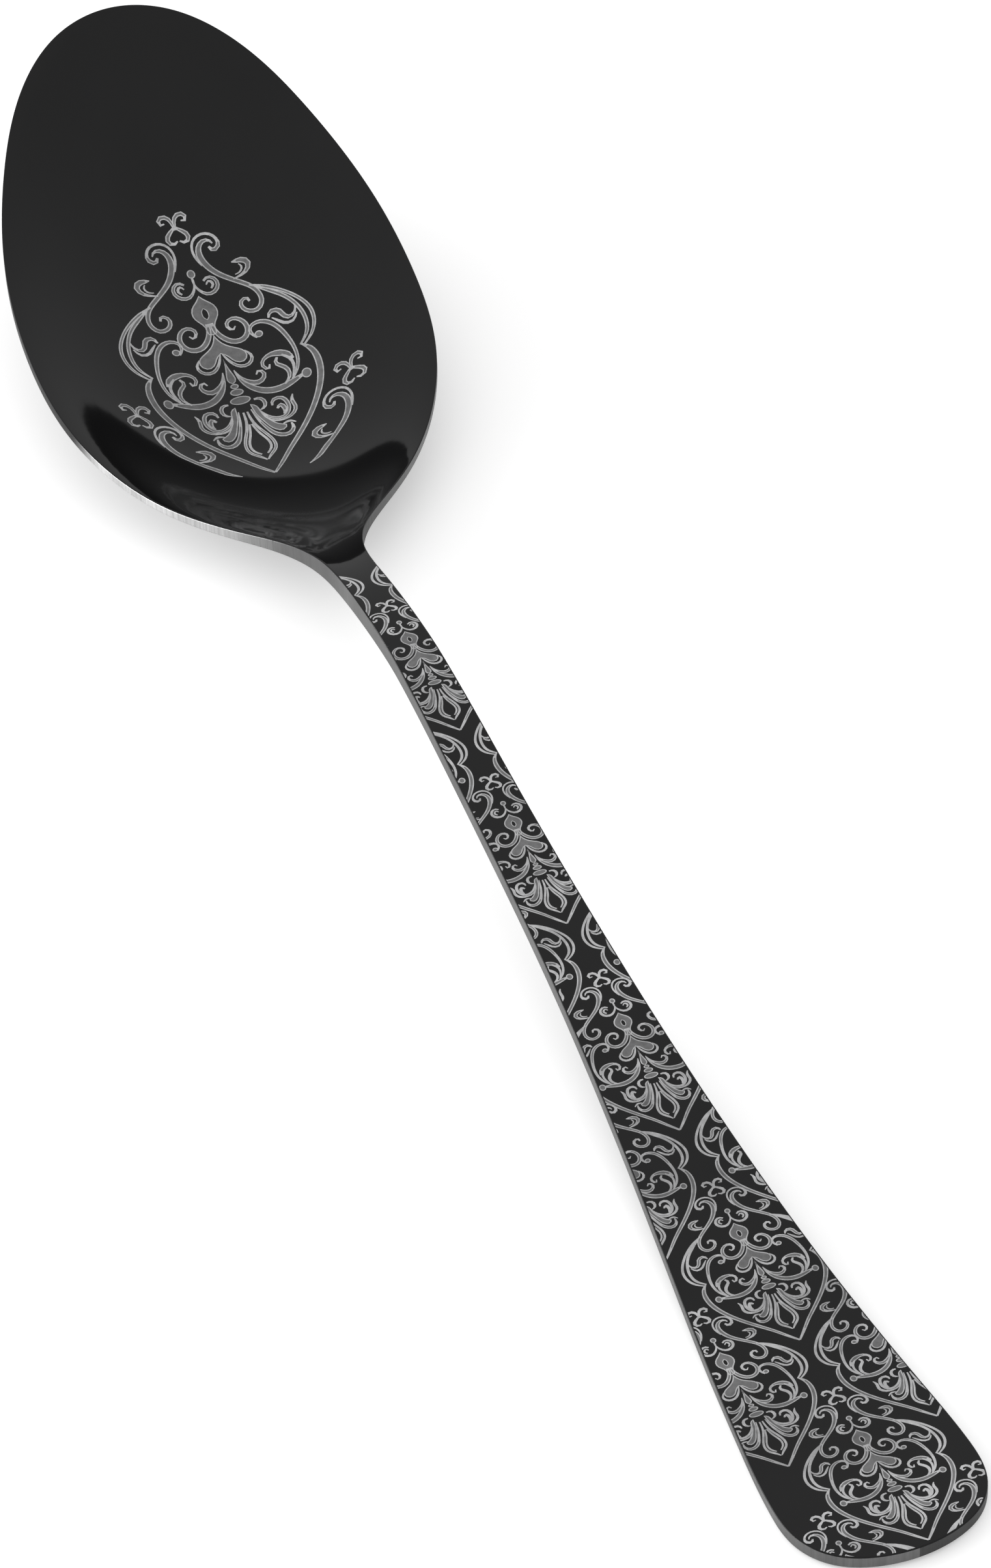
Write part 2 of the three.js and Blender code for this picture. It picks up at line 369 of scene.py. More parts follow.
@dataclass
class Damask:
    """The ogee damask: a pointed frame with a heart, scrolls and a palmette inside it.

    Its own lengths are those of the bowl's medallion, with `along` counted from the bowl's tip.
    """

    line: float = 0.12
    frame_tip: float = 53.25

    def crest(self) -> list[Figure]:
        """Returns the fleuron over the frame: two curled horns over a looped heart."""
        horn = stroke([(0.0, 19.7, .14), (0.12, 18.95, .17), (0.45, 18.3, .22), (1.0, 18.15, .24),
                       (1.38, 18.5, .2), (1.2, 18.95, .14), (0.85, 18.85, .07)], self.line)
        loop = stroke([(0.0, 19.35, .12), (0.5, 19.8, .2), (1.02, 20.4, .25), (0.98, 20.95, .22),
                       (0.5, 21.15, .16), (0.1, 20.9, .08)], self.line)
        return [horn, horn.mirrored(), loop, loop.mirrored()]

    def shoulder_scroll(self) -> list[Figure]:
        """Returns the right-hand scroll beside the crest: a thin strand round a curled head."""
        strand = stroke([(2.65, 22.3, .12), (3.0, 22.8, .24), (3.55, 22.55, .24), (3.62, 21.8, .15),
                         (3.1, 21.05, .14), (2.2, 20.8, .14), (1.38, 21.2, .13),
                         (0.98, 22.1, .12), (1.05, 23.1, .13), (1.45, 24.1, .12)], self.line)
        leaf = stroke([(3.9, 26.62, .06), (4.7, 26.5, .14), (5.45, 26.15, .24), (5.75, 25.5, .3),
                       (5.35, 24.95, .32), (4.75, 24.8, .24), (4.25, 24.75, .06)], self.line)
        vein = stroke([(4.2, 26.2, .05), (4.75, 26.1, .1), (5.05, 25.6, .1), (4.85, 25.2, .05)],
                      self.line)
        return [strand, leaf, vein]

    def shoulder_band(self, ends: list[tuple[float, float, float]]) -> Figure:
        """Returns the scroll's wide band, from its head down to the given end points."""
        return stroke([(3.12, 22.1, .07), (2.85, 21.65, .14), (2.3, 21.55, .22), (1.72, 22.0, .28),
                       (1.5, 23.0, .33), (1.78, 24.1, .33), (2.5, 25.3, .3), (3.5, 26.35, .27),
                       (4.5, 27.3, .26), *ends], self.line)

    def outer_frame(self) -> list[Figure]:
        """Returns the right half of the pointed frame and what grows from it."""
        return [
            self.shoulder_band([(5.3, 28.2, .25), (5.75, 29.3, .24), (5.68, 30.3, .25),
                                (5.05, 30.95, .26), (4.25, 30.8, .24), (3.72, 30.1, .22),
                                (3.85, 29.35, .2), (4.4, 29.2, .17), (4.6, 29.7, .12)]),
            stroke([(5.1, 27.9, .1), (6.4, 28.75, .2), (7.9, 30.15, .18), (9.1, 31.9, .18),
                    (9.72, 33.7, .19), (9.6, 35.3, .19), (8.95, 36.5, .17), (7.9, 37.35, .1)],
                   self.line),
            stroke([(5.6, 28.3, .12), (6.9, 29.6, .22), (8.05, 31.1, .2), (8.75, 32.8, .2),
                    (8.95, 34.5, .2), (8.6, 36.0, .2), (7.55, 37.15, .1)], self.line),
            stroke([(7.6, 37.05, .08), (8.25, 38.0, .26), (8.55, 39.6, .34), (8.25, 41.6, .35),
                    (7.3, 43.75, .32), (5.8, 46.0, .3), (4.0, 48.2, .28), (2.4, 50.1, .25),
                    (1.15, 51.8, .22), (0.0, 53.3, .14)], self.line),
            stroke([(5.7, 32.45, .1), (6.1, 31.85, .24), (6.75, 32.0, .27), (7.1, 32.8, .26),
                    (7.65, 33.4, .22), (8.25, 33.1, .14), (8.5, 32.3, .06)], self.line),
            stroke([(6.0, 32.6, .06), (6.5, 33.25, .15), (7.1, 33.9, .18), (7.8, 34.0, .16),
                    (8.4, 33.3, .08)], self.line),
        ]

    def ring(self) -> list[Figure]:
        """Returns the right half of the round scroll, its knob and the leaf curled inside it."""
        return [
            disc(4.25, 33.85, 0.42, 0.42, self.line),
            stroke([(4.0, 34.2, .12), (3.6, 33.5, .17), (3.65, 32.8, .18), (4.35, 32.4, .22),
                    (5.3, 32.7, .26), (6.1, 33.7, .25), (6.6, 35.1, .23), (6.9, 36.8, .2),
                    (6.85, 38.4, .18), (6.35, 39.8, .16), (5.6, 40.7, .12)], self.line),
            stroke([(0.58, 37.3, .06), (0.85, 38.6, .2), (1.5, 39.85, .33), (2.7, 40.9, .4),
                    (4.2, 41.25, .42), (5.6, 41.0, .34), (6.6, 40.75, .2)], self.line),
            disc(7.05, 40.75, 0.5, 0.62, self.line),
            stroke([(0.6, 37.4, .06), (0.95, 38.45, .17), (1.6, 39.25, .28), (2.45, 39.6, .32),
                    (3.1, 39.2, .24), (3.2, 38.5, .18), (2.8, 38.2, .14), (2.5, 38.6, .08)],
                   self.line),
            stroke([(6.45, 38.3, .1), (6.15, 37.6, .3), (5.3, 36.95, .4), (4.35, 36.8, .26),
                    (3.6, 37.2, .18), (3.45, 37.95, .18), (3.85, 38.4, .16), (4.1, 37.9, .08)],
                   self.line),
            stroke([(5.0, 37.4, .12), (4.7, 38.0, .2), (5.15, 38.65, .24), (5.55, 39.5, .22),
                    (5.35, 40.4, .17), (4.75, 40.95, .1)], self.line),
            stroke([(5.5, 37.3, .12), (6.15, 38.2, .17), (6.2, 39.3, .15), (5.75, 40.4, .08)],
                   self.line),
        ]

    def heart(self) -> list[Figure]:
        """Returns the drop with its eye, the scrolls from its stem, and the heart below."""
        side_scroll = stroke([(0.2, 30.9, .2), (0.35, 32.0, .26), (0.9, 33.1, .3), (1.75, 33.8, .32),
                              (2.65, 33.8, .31), (3.3, 33.15, .28), (3.42, 32.2, .26),
                              (3.05, 31.4, .24), (2.35, 31.0, .22), (1.72, 31.3, .2),
                              (1.65, 31.95, .17), (2.05, 32.35, .13), (2.38, 32.0, .07)], self.line)
        volute = stroke([(0.0, 25.1, .1), (0.02, 26.1, .1), (0.4, 26.9, .15), (1.05, 27.4, .2),
                         (1.8, 27.25, .22), (2.25, 26.6, .2), (2.1, 25.85, .18), (1.5, 25.5, .16),
                         (1.0, 25.8, .12)], self.line)
        curl = stroke([(1.15, 26.3, .07), (1.5, 25.95, .13), (1.8, 26.35, .15), (1.5, 26.85, .1)],
                      self.line)
        lobe = stroke([(2.3, 35.2, .07), (2.78, 36.1, .16), (2.35, 36.95, .2), (1.5, 37.05, .2),
                       (0.75, 36.4, .17), (0.3, 35.5, .12), (0.1, 34.9, .06)], self.line)
        return [
            disc(0.05, 24.75, 0.42, 0.5, self.line),
            closed([(0, 27.35), (.5, 28.0), (1.05, 28.6), (1.32, 29.3), (1.2, 30.1), (.75, 30.8),
                    (.5, 31.5), (.45, 32.2), (0, 32.4)], self.line, True),
            closed([(0, 28.9), (.28, 29.2), (.36, 29.65), (.28, 30.1), (0, 30.4)],
                   self.line * 0.7, True, True),
            closed([(0, 32.35), (.55, 33.6), (1.5, 34.45), (2.3, 35.15), (2.4, 36.0), (1.75, 36.55),
                    (1.0, 36.2), (.45, 35.3), (0, 34.9)], self.line, True),
            side_scroll, side_scroll.mirrored(), volute, volute.mirrored(), curl, curl.mirrored(),
            lobe, lobe.mirrored(),
        ]

    def stem(self) -> list[Figure]:
        """Returns the baluster on the middle line, from the heart to the palmette."""
        return [
            closed([(0, 35.6), (.2, 37.0), (.42, 38.0), (.38, 38.7), (0, 39.0)], self.line, True),
            disc(0.02, 39.35, 0.42, 0.33, self.line), disc(0.02, 40.15, 0.68, 0.45, self.line),
            disc(0.02, 41.3, 1.05, 0.55, self.line),
        ]

    def palmette(self) -> list[Figure]:
        """Returns the right half of the palmette's leaves, and its hanging drop."""
        leaves = [
            stroke([(1.3, 41.6, .12), (1.85, 41.65, .18), (2.2, 42.3, .22), (1.95, 43.0, .16),
                    (1.5, 43.2, .06)], self.line),
            stroke([(2.75, 43.1, .1), (3.0, 42.45, .2), (3.75, 42.4, .22), (4.2, 43.2, .22),
                    (4.1, 44.3, .2), (3.45, 45.0, .2), (2.55, 44.85, .18), (1.8, 44.1, .15),
                    (1.4, 43.2, .06)], self.line),
            stroke([(5.0, 42.55, .06), (4.72, 43.3, .2), (4.78, 44.3, .2), (4.25, 45.1, .2),
                    (3.35, 45.4, .14), (2.4, 45.2, .12), (1.6, 44.2, .06)], self.line),
            stroke([(3.1, 43.7, .12), (3.5, 43.35, .24), (3.75, 43.95, .24), (3.5, 44.7, .1)],
                   self.line),
            closed([(.75, 42.1), (1.15, 42.3), (1.55, 43.7), (2.1, 45.0), (2.9, 45.95), (3.3, 46.25),
                    (2.85, 46.85), (2.1, 46.5), (1.4, 45.1), (.9, 43.6)], self.line, False),
            stroke([(0.65, 42.8, .06), (0.95, 44.5, .15), (1.45, 46.1, .2), (2.2, 47.35, .28),
                    (3.1, 47.65, .28), (3.75, 47.0, .2), (3.75, 46.2, .08)], self.line),
            stroke([(3.0, 46.0, .08), (3.65, 45.9, .16), (4.2, 46.35, .06)], self.line),
            stroke([(0.2, 43.0, .1), (0.32, 44.5, .15), (0.9, 46.3, .16), (1.42, 48.0, .16),
                    (1.25, 49.2, .17), (0.6, 50.0, .18), (0.05, 50.75, .08)], self.line),
            stroke([(0.12, 44.8, .1), (0.5, 46.4, .13), (0.98, 47.9, .13), (0.85, 49.0, .13),
                    (0.3, 49.7, .1)], self.line),
        ]
        return leaves

    def whole(self) -> list[Figure]:
        """Returns one full repeat of the damask."""
        half = [*self.shoulder_scroll(), *self.outer_frame(), *self.ring(), *self.palmette()]
        return [*self.crest(), *half, *(figure.mirrored() for figure in half), *self.heart(),
                *self.stem()]

    def sprig(self) -> list[Figure]:
        """Returns the cut-off repeat beside the medallion: a crest, one scroll and its tail."""
        tail = self.shoulder_band([(5.4, 28.1, .3), (6.3, 29.0, .26), (7.5, 29.75, .06)])
        return [*self.crest(), *self.shoulder_scroll(), tail]


@dataclass
class Pattern:
    """Where the damask lies on the spoon."""

    form: SpoonForm
    repeat: float = 23.6
    last_tip: float = 199.5
    column: float = 6.55
    handle_stretch: tuple[float, float] = (0.507, 0.615)
    sprig_offset: tuple[float, float] = (23.25, 10.7)
    sprig_drift: tuple[float, float] = (0.45, 0.25)

    def medallion(self) -> list[Figure]:
        """Returns the bowl's ornament: one repeat and a sprig to either side of its point."""
        damask = Damask()
        one, centre = np.ones(2), np.array([0.0, 0.08])
        # The scroll of each sprig turns towards the medallion.
        left = [figure.mirrored() for figure in damask.sprig()]
        near = [figure.moved(one, np.array(self.sprig_offset)) for figure in left]
        right = [figure.moved(one, np.array(self.sprig_drift)) for figure in near]
        far = [figure.mirrored() for figure in near]
        return [figure.moved(one, centre) for figure in [*damask.whole(), *right, *far]]

    def handle(self, first: float, last: float) -> list[Figure]:
        """Returns the handle's half-drop repeats that reach between two stations.

        Args:
            first: The lower station.
            last: The higher station.
        """
        damask = Damask(line=0.17)
        tile, stretch = damask.whole(), np.array(self.handle_stretch)
        figures: list[Figure] = []
        for column in (-1, 0, 1):
            rows = 5 if column == 0 else 6
            for row in range(rows):
                tip = self.last_tip - row * self.repeat + (self.repeat / 2 if column else 0)
                aside = column * self.column + min(0.012 * (tip - 90), 1.0)
                by = np.array([tip - damask.frame_tip * stretch[0], aside])
                placed = (figure.moved(stretch, by) for figure in tile)
                figures += [
                    f for f in placed if f.outer[:, 0].max() > first and f.outer[:, 0].min() < last
                    and np.abs(f.outer[:, 1]).min() < self.form.half_width(f.outer[:, 0]).max()
                ]
        return figures


# ---- finishes ----


class Socket(Enum):
    """The skin's material slots, in the order of Etching, and the ground edge after them."""

    COATING = 0
    FIELD = 1
    LINE = 2
    EDGE = 3


class Nodes:
    """A short hand for building a material's node tree."""

    def __init__(self, name: str) -> None:
        """Makes an empty material with a Principled shader wired to its output."""
        self.material = bpy.data.materials.new(name)
        self.material.use_nodes = True
        self.tree = self.material.node_tree
        self.shader = self.tree.nodes["Principled BSDF"]

    def add(self, kind: str, inputs: dict[str | int, object] | None = None,
            **settings: object) -> bpy.types.Node:
        """Adds a node.

        Args:
            kind: The node's type name, without the ShaderNode before it.
            inputs: Values or output sockets for its inputs.
            settings: Attributes of the node.

        Returns:
            The new node.
        """
        node = self.tree.nodes.new(f"ShaderNode{kind}")
        for key, value in settings.items():
            setattr(node, key, value)
        for key, value in (inputs or {}).items():
            self.feed(node, key, value)
        return node

    def feed(self, node: bpy.types.Node, key: str | int, value: object) -> None:
        """Links an output socket to a node's input, or sets the input to a plain value."""
        if isinstance(value, bpy.types.NodeSocket):
            self.tree.links.new(value, node.inputs[key])
        else:
            node.inputs[key].default_value = value

    def spread(self, value: bpy.types.NodeSocket, low: float, high: float,
               start: float = 0.3, stop: float = 0.7) -> bpy.types.NodeSocket:
        """Returns a value carried from start..stop to low..high, held at both ends."""
        node = self.add("MapRange", {"Value": value, "From Min": start, "From Max": stop,
                                     "To Min": low, "To Max": high})
        return node.outputs["Result"]

    def grey(self, value: bpy.types.NodeSocket, tint: tuple[float, float, float]) -> bpy.types.NodeSocket:
        """Returns a tint multiplied by a brightness."""
        node = self.add("VectorMath", {0: tint, 3: value}, operation="SCALE")
        return node.outputs["Vector"]


@dataclass(frozen=True)
class BlackCoating:
    """Gloss black coating: deep, faintly uneven, with the odd speck of dust."""

    brightness: float = 0.0032
    roughness: float = 0.06
    ior: float = 1.32

    def build(self) -> bpy.types.Material:
        """Returns the material."""
        nodes = Nodes("black_coating")
        where = nodes.add("TexCoord").outputs["Object"]
        cloud = nodes.add("TexNoise", {"Vector": where, "Scale": 60.0, "Detail": 3.0})
        grain = nodes.add("TexNoise", {"Vector": where, "Scale": 2600.0, "Detail": 2.0})
        cells = nodes.add("TexVoronoi", {"Vector": where, "Scale": 190.0})
        dust = nodes.spread(cells.outputs["Distance"], 1.0, 0.0, 0.018, 0.045)
        chosen = nodes.add("SeparateColor", {"Color": cells.outputs["Color"]})
        rare = nodes.spread(chosen.outputs["Red"], 0.0, 1.0, 0.93, 0.97)
        speck = nodes.add("Math", {0: dust, 1: rare}, operation="MULTIPLY").outputs[0]
        base = nodes.spread(cloud.outputs["Fac"], self.brightness * 0.75, self.brightness * 1.3)
        lit = nodes.add("Math", {0: speck, 1: 0.08, 2: base}, operation="MULTIPLY_ADD").outputs[0]
        nodes.feed(nodes.shader, "Base Color", nodes.grey(lit, (1.0, 1.0, 1.06)))
        gloss = nodes.spread(cloud.outputs["Fac"], self.roughness * 0.8, self.roughness * 1.25)
        rough = nodes.add("Math", {0: speck, 1: 0.5, 2: gloss}, operation="MULTIPLY_ADD").outputs[0]
        nodes.feed(nodes.shader, "Roughness", rough)
        bump = nodes.add("Bump", {"Height": grain.outputs["Fac"], "Strength": 0.012, "Distance": 0.00001})
        nodes.feed(nodes.shader, "Normal", bump.outputs["Normal"])
        nodes.feed(nodes.shader, "IOR", self.ior)
        return nodes.material


@dataclass(frozen=True)
class Etched:
    """Coating etched back to a dry grey: mottled, and rough enough not to mirror."""

    name: str
    brightness: float
    roughness: float
    metallic: float = 0.25

    def build(self) -> bpy.types.Material:
        """Returns the material."""
        nodes = Nodes(self.name)
        where = nodes.add("TexCoord").outputs["Object"]
        mottle = nodes.add("TexNoise", {"Vector": where, "Scale": 1400.0, "Detail": 4.0, "Roughness": 0.65})
        drift = nodes.add("TexNoise", {"Vector": where, "Scale": 90.0, "Detail": 2.0})
        both = nodes.add("Math", {0: mottle.outputs["Fac"], 1: drift.outputs["Fac"]}, operation="ADD")
        value = nodes.spread(both.outputs[0], self.brightness * 0.7, self.brightness * 1.3, 0.75, 1.25)
        nodes.feed(nodes.shader, "Base Color", nodes.grey(value, (1.0, 1.0, 1.01)))
        rough = nodes.spread(mottle.outputs["Fac"], self.roughness * 0.9, self.roughness * 1.1)
        nodes.feed(nodes.shader, "Roughness", rough)
        nodes.feed(nodes.shader, "Metallic", self.metallic)
        bump = nodes.add("Bump", {"Height": mottle.outputs["Fac"], "Strength": 0.35, "Distance": 0.00003})
        nodes.feed(nodes.shader, "Normal", bump.outputs["Normal"])
        return nodes.material


@dataclass(frozen=True)
class GroundEdge:
    """Ground steel under a thin coat, with fine lines across the sheet's thickness.

    How bare the edge is mixes real worn steel with a painted highlight: the heel's bright patch
    and the side towards the lamp are painted in as barer, brighter steel.
    """

    steel: float = 0.8
    coated: float = 0.02
    roughness: float = 0.36

    def build(self) -> bpy.types.Material:
        """Returns the material, which reads from a point attribute how bare the edge is: worn steel, and the
        painted highlight on the heel and the lamp side.
        """
        nodes = Nodes("ground_edge")
        run = nodes.add("UVMap", uv_map="run").outputs["UV"]
        stretched = nodes.add("Mapping", {"Vector": run, "Scale": (1.0, 0.03, 1.0)}).outputs["Vector"]
        lines = nodes.add("TexNoise", {"Vector": stretched, "Scale": 2600.0, "Detail": 5.0, "Roughness": 0.7})
        bands = nodes.add("TexNoise", {"Vector": stretched, "Scale": 160.0, "Detail": 3.0})
        both = nodes.add("Math", {0: lines.outputs["Fac"], 1: bands.outputs["Fac"]}, operation="ADD")
        steel = nodes.spread(both.outputs[0], self.steel * 0.6, self.steel * 1.35, 0.7, 1.3)
        # this point attribute carries real bare steel and the painted highlight on the heel and lamp side
        bare_and_highlight = nodes.add("Attribute", attribute_name="bare_and_highlight").outputs["Fac"]
        value = nodes.add("Mix", {0: bare_and_highlight, 2: self.coated, 3: steel}).outputs[0]
        nodes.feed(nodes.shader, "Base Color", nodes.grey(value, (1.0, 1.0, 1.0)))
        nodes.feed(nodes.shader, "Metallic", nodes.spread(bare_and_highlight, 0.0, 1.0, 0.0, 0.3))
        nodes.feed(nodes.shader, "IOR", 1.25)
        rough = nodes.spread(lines.outputs["Fac"], self.roughness * 0.75, self.roughness * 1.3)
        nodes.feed(nodes.shader, "Roughness", rough)
        bump = nodes.add("Bump", {"Height": lines.outputs["Fac"], "Strength": 0.3, "Distance": 0.00002})
        nodes.feed(nodes.shader, "Normal", bump.outputs["Normal"])
        return nodes.material


# ---- the skins ----


@dataclass
class Skin:
    """The finished surface over one region of the spoon, closed all round.

    Its top is a triangulation of the flat region cut by every edge of the ornament, laid on the
    form. A rounded edge goes down from the top's border, and a plainer underside closes it.
    """

    region: str
    form: SpoonForm
    figures: list[Figure]
    finishes: list[bpy.types.Material]
    grid: float = 1.1
    border_step: float = 0.45

    def flat_border(self) -> Array:
        """Returns the region's flat border, set in by the edge's rounding, as (station, y) rows."""
        first, last = self.form.cuts[self.region]
        rim = self.form.rim(6000)
        ahead = np.gradient(rim, axis=0)
        ahead /= np.linalg.norm(ahead, axis=1, keepdims=True)
        inset = rim + np.stack([ahead[:, 1], -ahead[:, 0]], 1) * self.form.edge_round
        inset = inset[inset[:, 1] > 1e-3]
        keep = (inset[:, 0] > first + 0.05) & (inset[:, 0] < last - 0.05)
        side = inset[keep]
        walked = np.r_[0, np.cumsum(np.hypot(*np.diff(side, axis=0).T))]
        count = max(int(walked[-1] / self.border_step), 8)
        even = np.linspace(0, walked[-1], count)
        side = np.stack([np.interp(even, walked, side[:, k]) for k in (0, 1)], 1)
        corners = [np.interp(cut, inset[:, 0], inset[:, 1]) for cut in (first, last)]
        starts_at_tip, stops_at_end = first <= 0, last >= self.form.length
        right = side
        if starts_at_tip:
            right = np.concatenate([[[self.form.edge_round, 0.0]], right])
        else:
            right = np.concatenate([[[first, corners[0]]], right])
        if stops_at_end:
            right = np.concatenate([right, [[self.form.length - self.form.edge_round, 0.0]]])
        else:
            right = np.concatenate([right, [[last, corners[1]]]])
        parts = [right]
        if not stops_at_end:
            parts.append(self.cut_points(last, corners[1])[::-1])
        left = right[::-1] * [1, -1]
        parts.append(left[1:] if stops_at_end else left)
        if not starts_at_tip:
            parts.append(self.cut_points(first, corners[0]))
        border = np.concatenate(parts)
        return border[:-1] if starts_at_tip else border

    def cut_points(self, station: float, half: float) -> Array:
        """Returns evenly spaced inner points of a straight cut across, from -half to +half."""
        y = np.linspace(-half, half, max(int(2 * half), 4) + 1)[1:-1]
        return np.stack([np.full(len(y), station), y], 1)

    def triangulate(self, border: Array, loops: list[Array]) -> tuple[Array, Array]:
        """Cuts the flat region into triangles along its border and every loop.

        Args:
            border: The region's closed border.
            loops: Closed loops, which may reach outside the border.

        Returns:
            The flat points, and the corner numbers of each triangle inside the border.
        """
        low, high = border.min(0), border.max(0)
        axes = [np.arange(low[k] + self.grid / 2, high[k], self.grid) for k in (0, 1)]
        grid = np.stack(np.meshgrid(*axes, indexing="ij"), -1).reshape(-1, 2)
        grid = grid[inside(grid, border)]
        gap = np.min(np.linalg.norm(grid[:, None] - border[None, ::2], axis=2), axis=1)
        grid = grid[gap > self.grid * 0.5]
        closed_loops = [border, *loops]
        edges, start = [], 0
        for loop in closed_loops:
            here = np.arange(start, start + len(loop))
            edges.append(np.stack([here, np.roll(here, -1)], 1))
            start += len(loop)
        points = np.concatenate([*closed_loops, grid])
        found = delaunay_2d_cdt([Vector(p) for p in points.tolist()], np.concatenate(edges).tolist(),
                                [], 0, 1e-5)
        flat = np.array([tuple(v) for v in found[0]])
        faces = np.array(found[2])
        corners = flat[faces]
        area = np.cross(corners[:, 1] - corners[:, 0], corners[:, 2] - corners[:, 0])
        faces = faces[inside(corners.mean(1), border) & (np.abs(area) > 1e-9)]
        used, faces = np.unique(faces, return_inverse=True)
        return flat[used], faces.reshape(-1, 3)

    def classify(self, centres: Array) -> Array:
        """Returns each triangle's Etching number: a drawn line wins over a field."""
        kind = np.zeros(len(centres), int)
        lines = np.zeros(len(centres), bool)
        holes = np.zeros(len(centres), bool)
        for figure in self.figures:
            within = inside(centres, figure.outer)
            core = np.zeros_like(within) if figure.inner is None else inside(centres, figure.inner)
            if figure.is_hole:
                holes |= core
                lines |= within & ~core
            else:
                kind[core] = Etching.FIELD.value
                lines |= within & ~core
        kind[lines] = Etching.LINE.value
        kind[holes] = Etching.COATING.value
        return kind

    def ordered_border(self, flat: Array, faces: Array) -> Array:
        """Returns the numbers of the border points, in order round the region."""
        sides = np.sort(np.concatenate([faces[:, [0, 1]], faces[:, [1, 2]], faces[:, [2, 0]]]), axis=1)
        pairs, count = np.unique(sides, axis=0, return_counts=True)
        border = np.unique(pairs[count == 1])
        first, last = self.form.cuts[self.region]
        s, y = flat[border].T
        at_first = (np.abs(s - first) < 1e-4) & (first > 0)
        at_last = (np.abs(s - last) < 1e-4) & (last < self.form.length)
        plain = ~at_first & ~at_last
        groups = [
            (plain & (y >= 0), s), (at_last, -y), (plain & (y < 0), -s), (at_first, y),
        ]
        chosen = [border[mask][np.argsort(key[mask])] for mask, key in groups]
        return np.concatenate(chosen)

    def outward(self, flat: Array) -> Array:
        """Returns the flat outward direction at each border point.

        Along the outline it is the outline's normal. At a corner of a cut it runs along the cut,
        longer by the slant, so that the neighbouring skin's edge meets it. On a cut it is zero.
        """
        rim = self.form.rim(12000)
        ahead = np.gradient(rim, axis=0)
        ahead /= np.linalg.norm(ahead, axis=1, keepdims=True)
        normal = np.stack([-ahead[:, 1], ahead[:, 0]], 1)
        inset = rim - normal * self.form.edge_round
        folded = np.abs(flat)
        nearest = np.array([np.argmin(np.hypot(*(inset - point).T)) for point in folded])
        found = normal[nearest] * np.where(flat[:, 1:] < 0, [1, -1], [1, 1])
        miss = np.hypot(*(inset[nearest] - folded).T)
        ends = self.form.cuts[self.region]
        for cut, inner in zip(ends, (ends[0] > 0, ends[1] < self.form.length)):
            on_cut = (np.abs(flat[:, 0] - cut) < 1e-4) & inner
            corner = on_cut & (miss < 0.05)
            found[corner] = np.stack([np.zeros(corner.sum()), 1 / found[corner, 1]], 1)
            found[on_cut & ~corner] = 0
        return found

    def build(self) -> bpy.types.Object:
        """Builds the skin's mesh and dresses it.

        Returns:
            The object, in metres, with its place in its mesh.
        """
        border = self.flat_border()
        loops = [loop for figure in self.figures for loop in (figure.outer, figure.inner)
                 if loop is not None]
        flat, faces = self.triangulate(border, loops)
        kind = self.classify(flat[faces].mean(1))
        ring = self.ordered_border(flat, faces)
        ring_flat = flat[ring]
        under_flat, under_faces = self.triangulate(ring_flat, [])
        under_ring = self.ordered_border(under_flat, under_faces)

        form, radius = self.form, self.form.edge_round
        top_normal = form.facing(*flat.T)
        out = self.outward(ring_flat)
        gauge = np.minimum(form.gauge(ring_flat[:, 0])[:, 0], form.lay(*ring_flat.T)[:, 2])
        ring_normal = top_normal[ring]
        step = form.lay(*(ring_flat + out * 0.01).T)[:, :2] - form.lay(*ring_flat.T)[:, :2]
        size = np.linalg.norm(step, axis=1, keepdims=True)
        level = np.concatenate([step / np.maximum(size, 1e-9), np.zeros((len(ring), 1))], 1)
        # Tilts from the top's normal: the rounded top edge, the wall, and the rounded foot.
        turns = np.radians([30, 60, 90, 90, 90, 120, 150])
        reach = radius * np.sin(turns)
        drop = np.concatenate([
            radius * (1 - np.cos(turns[:3]))[:, None] + 0 * gauge, 0.5 * gauge[None],
            gauge - radius * (1 + np.cos(turns[4:]))[:, None],
        ])
        wall = np.concatenate([
            form.lay(*(ring_flat + out * r).T, depth) for r, depth in zip(reach, drop)])
        wall_normal = np.concatenate([
            np.cos(t) * ring_normal + np.sin(t) * level for t in turns])
        under_gauge = form.gauge(under_flat[:, 0])[:, 0]
        points = np.concatenate([
            form.lay(*flat.T), wall, form.lay(*under_flat.T, under_gauge)])
        normals = np.concatenate([top_normal, wall_normal, -form.facing(*under_flat.T)])
        normals /= np.maximum(np.linalg.norm(normals, axis=1, keepdims=True), 1e-9)

        count, rows = len(ring), len(turns)
        here, after = np.arange(count), (np.arange(count) + 1) % count
        levels = [ring, *(len(flat) + k * count + here for k in range(rows)),
                  len(flat) + rows * count + under_ring]
        quads = np.concatenate([
            np.stack([a[here], a[after], b[after], b[here]], 1) for a, b in zip(levels, levels[1:])])
        flip = self.turned_down(points, faces)
        faces[flip] = faces[flip][:, ::-1]
        under_faces = under_faces + len(flat) + rows * count
        flip = ~self.turned_down(points, under_faces)
        under_faces[flip] = under_faces[flip][:, ::-1]

